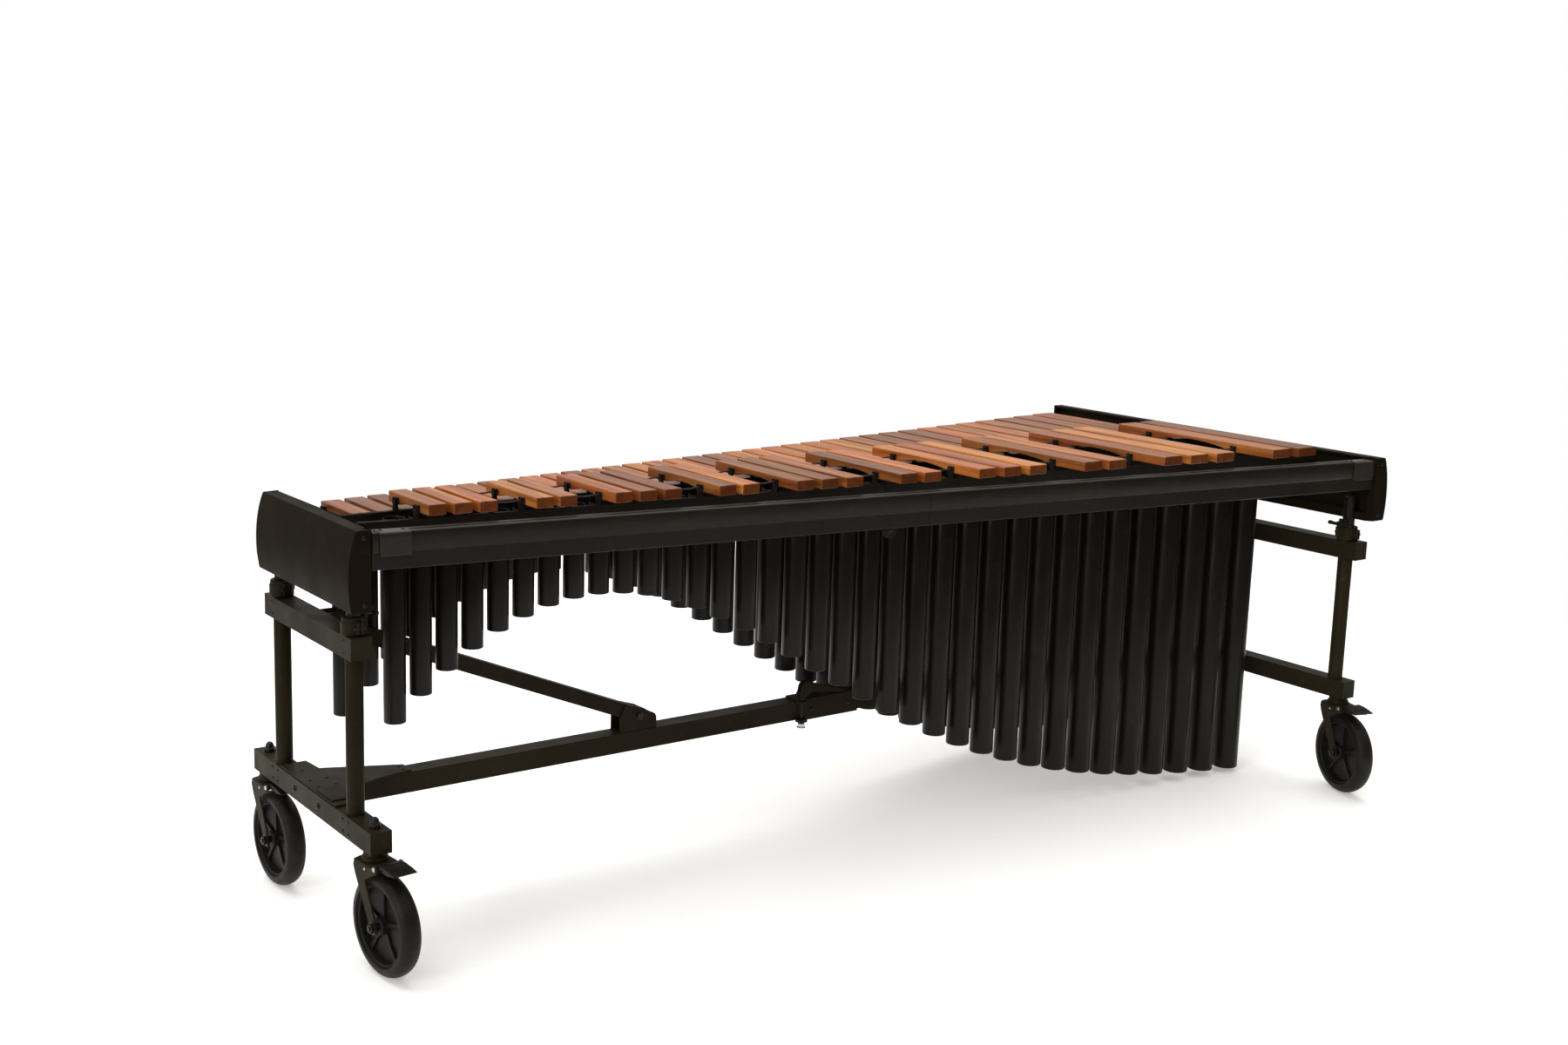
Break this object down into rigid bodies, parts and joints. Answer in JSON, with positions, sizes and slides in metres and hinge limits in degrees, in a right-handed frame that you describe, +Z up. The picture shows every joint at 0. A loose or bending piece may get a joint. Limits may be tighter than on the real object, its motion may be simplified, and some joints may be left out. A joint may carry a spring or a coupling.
{
  "type": "marimba",
  "caption": "Concert marimba with wooden bars over tuned resonator tubes, on a rolling stand with adjustable height, diagonal braces and braked casters.",
  "frame": {"origin": "centre of the bounding box in X and Y, on the floor under the tyres", "axes": "+X along the keyboard towards the low notes, +Y away from the audience towards the player, +Z up"},
  "size_m": [2.5972, 1.2194, 0.872],
  "materials": {
    "frame_paint": "satin, warm near-black, fine texture",
    "rail_paint": "satin, warm near-black",
    "panel_paint": "satin, warm near-black, slightly glossier than the stand",
    "resonator_metal": "satin anodised look, dark warm brown",
    "bar_wood": "smooth lacquer over straight-grained rosewood, orange-brown",
    "tyre": "smooth matt rubber",
    "black_plastic": "matt moulded",
    "bare_steel": "bare, brushed"
  },
  "bodies": {
    "stand": {"gusset_plate_high": "frame_paint", "gusset_plate_low": "frame_paint", "height_collar_back_high": "frame_paint", "height_collar_back_low": "frame_paint", "height_collar_front_high": "frame_paint", "height_collar_front_low": "frame_paint", "latch_rod": "bare_steel", "leg_tube_back_high": "frame_paint", "leg_tube_back_low": "frame_paint", "leg_tube_front_high": "frame_paint", "leg_tube_front_low": "frame_paint", "lower_crossbeam_high": "frame_paint", "lower_crossbeam_low": "frame_paint", "spine_beam_high": "frame_paint", "spine_beam_low": "frame_paint", "spine_sleeve": "frame_paint", "upper_crossbeam_high": "frame_paint", "upper_crossbeam_low": "frame_paint"},
    "keyboard": {"accidental_bars_high": "bar_wood", "accidental_bars_low": "bar_wood", "accidental_rail_high": "rail_paint", "accidental_rail_low": "rail_paint", "center_rails_high": "rail_paint", "center_rails_low": "rail_paint", "end_panel_high": "panel_paint", "end_panel_low": "panel_paint", "front_rail_high": "rail_paint", "front_rail_low": "rail_paint", "height_rod_back_high": "frame_paint", "height_rod_back_low": "frame_paint", "height_rod_front_high": "frame_paint", "height_rod_front_low": "frame_paint", "natural_bars_high": "bar_wood", "natural_bars_low": "bar_wood", "natural_rail_high": "rail_paint", "natural_rail_low": "rail_paint", "resonators_back_high": "resonator_metal", "resonators_back_low": "resonator_metal", "resonators_front_high": "resonator_metal", "resonators_front_low": "resonator_metal"},
    "rail_latch": {"rail_latch_knob": "frame_paint"},
    "caster_front_high": {"caster_fork_front_high": "frame_paint"},
    "wheel_front_high": {"wheel_front_high": "tyre"},
    "pedal_front_high": {"brake_pedal_front_high": "black_plastic"},
    "knob_front_high": {"height_knob_front_high": "frame_paint"},
    "caster_back_high": {"caster_fork_back_high": "frame_paint"},
    "wheel_back_high": {"wheel_back_high": "tyre"},
    "pedal_back_high": {"brake_pedal_back_high": "black_plastic"},
    "knob_back_high": {"height_knob_back_high": "frame_paint"},
    "brace_high": {"brace_high": "frame_paint"},
    "caster_front_low": {"caster_fork_front_low": "frame_paint"},
    "wheel_front_low": {"wheel_front_low": "tyre"},
    "pedal_front_low": {"brake_pedal_front_low": "black_plastic"},
    "knob_front_low": {"height_knob_front_low": "frame_paint"},
    "caster_back_low": {"caster_fork_back_low": "frame_paint"},
    "wheel_back_low": {"wheel_back_low": "tyre"},
    "pedal_back_low": {"brake_pedal_back_low": "black_plastic"},
    "knob_back_low": {"height_knob_back_low": "frame_paint"},
    "brace_low": {"brace_low": "frame_paint"},
    "latch_lever": {"latch_lever": "frame_paint"}
  },
  "joints": [
    {"name": "height_slide", "type": "slide", "parent": "stand", "child": "keyboard", "axis": [0, 0, 1], "range_m": [0, 0.165]},
    {"name": "rail_latch_turn", "type": "hinge", "parent": "keyboard", "child": "rail_latch", "pos_m": [-0.1265, -0.32844, 0.766], "axis": [0, 0, 1], "range_deg": [0, 90]},
    {"name": "swivel_front_high", "type": "hinge", "parent": "stand", "child": "caster_front_high", "pos_m": [-1.2545, -0.20503, 0.224], "axis": [0, 0, 1], "continuous": true},
    {"name": "roll_front_high", "type": "hinge", "parent": "caster_front_high", "child": "wheel_front_high", "pos_m": [-1.25021, -0.24581, 0.1006], "axis": [0.9945, 0.1045, 0], "continuous": true},
    {"name": "brake_front_high", "type": "hinge", "parent": "caster_front_high", "child": "pedal_front_high", "pos_m": [-1.24969, -0.25078, 0.217], "axis": [0.9945, 0.1045, 0], "range_deg": [0, 9]},
    {"name": "knob_turn_front_high", "type": "hinge", "parent": "stand", "child": "knob_front_high", "pos_m": [-1.2545, -0.11803, 0.677], "axis": [1, 0, 0], "range_deg": [0, 90]},
    {"name": "swivel_back_high", "type": "hinge", "parent": "stand", "child": "caster_back_high", "pos_m": [-1.2545, 0.32197, 0.224], "axis": [0, 0, 1], "continuous": true},
    {"name": "roll_back_high", "type": "hinge", "parent": "caster_back_high", "child": "wheel_back_high", "pos_m": [-1.25307, 0.28099, 0.1006], "axis": [0.9994, 0.0349, 0], "continuous": true},
    {"name": "brake_back_high", "type": "hinge", "parent": "caster_back_high", "child": "pedal_back_high", "pos_m": [-1.25289, 0.276, 0.217], "axis": [0.9994, 0.0349, 0], "range_deg": [0, 9]},
    {"name": "knob_turn_back_high", "type": "hinge", "parent": "stand", "child": "knob_back_high", "pos_m": [-1.2545, 0.23897, 0.677], "axis": [1, 0, 0], "range_deg": [0, 90]},
    {"name": "brace_fold_high", "type": "hinge", "parent": "stand", "child": "brace_high", "pos_m": [-0.5, 0.07397, 0.312], "axis": [0, 1, 0], "range_deg": [-19, 0]},
    {"name": "swivel_front_low", "type": "hinge", "parent": "stand", "child": "caster_front_low", "pos_m": [1.2545, -0.47203, 0.224], "axis": [0, 0, 1], "continuous": true},
    {"name": "roll_front_low", "type": "hinge", "parent": "caster_front_low", "child": "wheel_front_low", "pos_m": [1.24115, -0.5108, 0.1006], "axis": [0.9455, -0.3256, 0], "continuous": true},
    {"name": "brake_front_low", "type": "hinge", "parent": "caster_front_low", "child": "pedal_front_low", "pos_m": [1.23952, -0.51552, 0.217], "axis": [0.9455, -0.3256, 0], "range_deg": [0, 9]},
    {"name": "knob_turn_front_low", "type": "hinge", "parent": "stand", "child": "knob_front_low", "pos_m": [1.2545, -0.45703, 0.677], "axis": [-1, 0, 0], "range_deg": [0, 90]},
    {"name": "swivel_back_low", "type": "hinge", "parent": "stand", "child": "caster_back_low", "pos_m": [1.2545, 0.54897, 0.224], "axis": [0, 0, 1], "continuous": true},
    {"name": "roll_back_low", "type": "hinge", "parent": "caster_back_low", "child": "wheel_back_low", "pos_m": [1.24738, 0.50859, 0.1006], "axis": [0.9848, -0.1736, 0], "continuous": true},
    {"name": "brake_back_low", "type": "hinge", "parent": "caster_back_low", "child": "pedal_back_low", "pos_m": [1.24651, 0.50367, 0.217], "axis": [0.9848, -0.1736, 0], "range_deg": [0, 9]},
    {"name": "knob_turn_back_low", "type": "hinge", "parent": "stand", "child": "knob_back_low", "pos_m": [1.2545, 0.53097, 0.677], "axis": [-1, 0, 0], "range_deg": [0, 90]},
    {"name": "brace_fold_low", "type": "hinge", "parent": "stand", "child": "brace_low", "pos_m": [0.5, 0.07397, 0.312], "axis": [0, 1, 0], "range_deg": [0, 19]},
    {"name": "latch_turn", "type": "hinge", "parent": "stand", "child": "latch_lever", "pos_m": [-0.0555, 0.04097, 0.3], "axis": [0, 1, 0], "range_deg": [-110, 0]}
  ]
}
